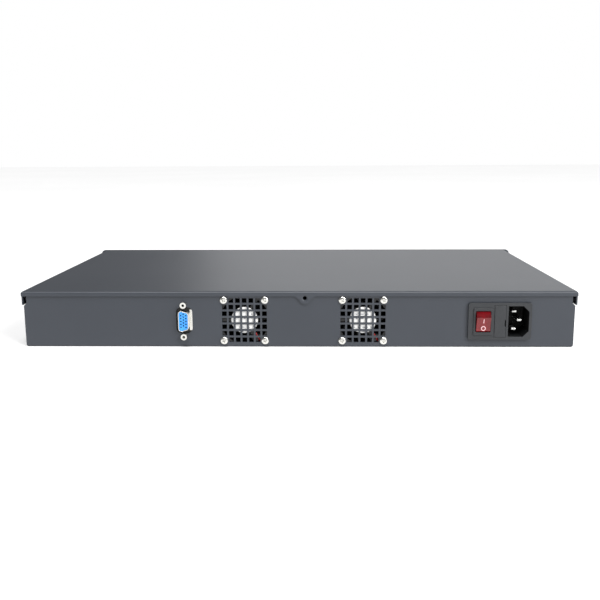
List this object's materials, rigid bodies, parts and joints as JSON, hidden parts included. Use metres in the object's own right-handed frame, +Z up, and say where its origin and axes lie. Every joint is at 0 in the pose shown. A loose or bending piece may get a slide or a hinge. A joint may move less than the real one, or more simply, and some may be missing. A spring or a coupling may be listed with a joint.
{
  "type": "rackmount network appliance",
  "caption": "One-rack-unit network appliance in a screwed steel case with rear fans, a display port, a switched and fused mains inlet, and front network jacks.",
  "frame": {"origin": "middle of the underside of the base tray", "axes": "+X to the right seen from the front, -Y towards the front plate, +Y towards the rear panel, +Z up"},
  "size_m": [0.44, 0.2596, 0.0444],
  "materials": {
    "dark_grey_powder_coat": "fine-textured satin powder coat",
    "nickel_screws": "bright nickel plate",
    "zinc_steel": "clear zinc plate",
    "black_oxide_screws": "black oxide",
    "black_plastic": "moulded, fine spark texture",
    "inlet_plastic": "moulded nylon, satin",
    "label_paper": "coated paper",
    "red_lead": "PVC",
    "brown_lead": "PVC",
    "yellow_lead": "PVC",
    "polished_steel": "ground",
    "copper_winding": "enamelled wire",
    "tin_plate": "bright tin",
    "clear_glass": "clear",
    "red_translucent": "translucent polycarbonate",
    "lamp_glass": "neon lamp",
    "blue_plastic": "moulded PBT",
    "gold_contact": "gold flash",
    "green_board": "solder mask over glass epoxy",
    "tan_board": "phenolic paper",
    "brass_standoff": "turned",
    "aluminium_fins": "extruded",
    "chip_epoxy": "moulded epoxy",
    "capacitor_sleeve": "shrink sleeve",
    "white_nylon": "moulded nylon",
    "transformer_tape": "polyester tape",
    "light_pipe": "clear acrylic",
    "drive_case": "anodised",
    "grey_ribbon": "ribbon cable"
  },
  "bodies": {
    "case": {"base_tray": "dark_grey_powder_coat", "top_cover": "dark_grey_powder_coat", "front_panel": "dark_grey_powder_coat", "cover_screws": "black_oxide_screws", "pan_head_screws": "zinc_steel", "fan_a_frame": "black_plastic", "fan_a_stator": "copper_winding", "fan_a_label": "label_paper", "fan_a_leads": "red_lead", "fan_b_frame": "black_plastic", "fan_b_stator": "copper_winding", "fan_b_label": "label_paper", "fan_b_leads": "red_lead", "fan_screws": "nickel_screws", "fan_nuts": "zinc_steel", "inlet_housing": "inlet_plastic", "inlet_pins": "tin_plate", "switch_body": "inlet_plastic", "switch_terminals": "tin_plate", "rocker_lamp": "lamp_glass", "mains_leads": "brown_lead", "vga_shell": "nickel_screws", "vga_insulator": "blue_plastic", "vga_contacts": "gold_contact", "vga_jackscrews": "nickel_screws", "vga_ribbon": "grey_ribbon", "mainboard": "green_board", "board_standoffs": "brass_standoff", "cpu_heatsink": "aluminium_fins", "memory_module": "green_board", "coin_cell": "tin_plate", "board_chips": "chip_epoxy", "board_capacitors": "capacitor_sleeve", "board_connectors": "white_nylon", "lan_jacks": "black_plastic", "lan_shields": "tin_plate", "jack_contacts": "gold_contact", "usb_shell": "tin_plate", "usb_tongues": "black_plastic", "light_pipes": "light_pipe", "reset_switch": "tin_plate", "psu_bracket": "zinc_steel", "psu_board": "tan_board", "psu_connectors": "white_nylon", "psu_transformer": "transformer_tape", "psu_capacitors": "capacitor_sleeve", "psu_heatsinks": "aluminium_fins", "drive_bracket": "zinc_steel", "solid_state_drive": "drive_case", "drive_cable": "red_lead", "dc_harness": "yellow_lead"},
    "power_rocker": {"power_rocker": "red_translucent"},
    "fuse_drawer": {"fuse_drawer": "inlet_plastic", "fuse_glass": "clear_glass", "fuse_caps": "tin_plate"},
    "fan_a_rotor": {"fan_a_rotor": "black_plastic", "fan_a_shaft": "polished_steel"},
    "fan_b_rotor": {"fan_b_rotor": "black_plastic", "fan_b_shaft": "polished_steel"},
    "reset_button": {"reset_button": "black_plastic"}
  },
  "joints": [
    {"name": "power_rocker_tilt", "type": "hinge", "parent": "case", "child": "power_rocker", "pos_m": [-0.1431, 0.1238, 0.0209], "axis": [1, 0, 0], "range_deg": [0, 26]},
    {"name": "fuse_drawer_slide", "type": "slide", "parent": "case", "child": "fuse_drawer", "axis": [0, 1, 0], "range_m": [0, 0.015]},
    {"name": "fan_a_spin", "type": "hinge", "parent": "case", "child": "fan_a_rotor", "pos_m": [0.041, 0.1138, 0.0213], "axis": [0, 1, 0], "continuous": true},
    {"name": "fan_b_spin", "type": "hinge", "parent": "case", "child": "fan_b_rotor", "pos_m": [-0.051, 0.1138, 0.0213], "axis": [0, 1, 0], "continuous": true},
    {"name": "reset_button_press", "type": "slide", "parent": "case", "child": "reset_button", "axis": [0, 1, 0], "range_m": [0, 0.001], "stiffness_N_per_m": 200, "springref_m": -0.001}
  ]
}
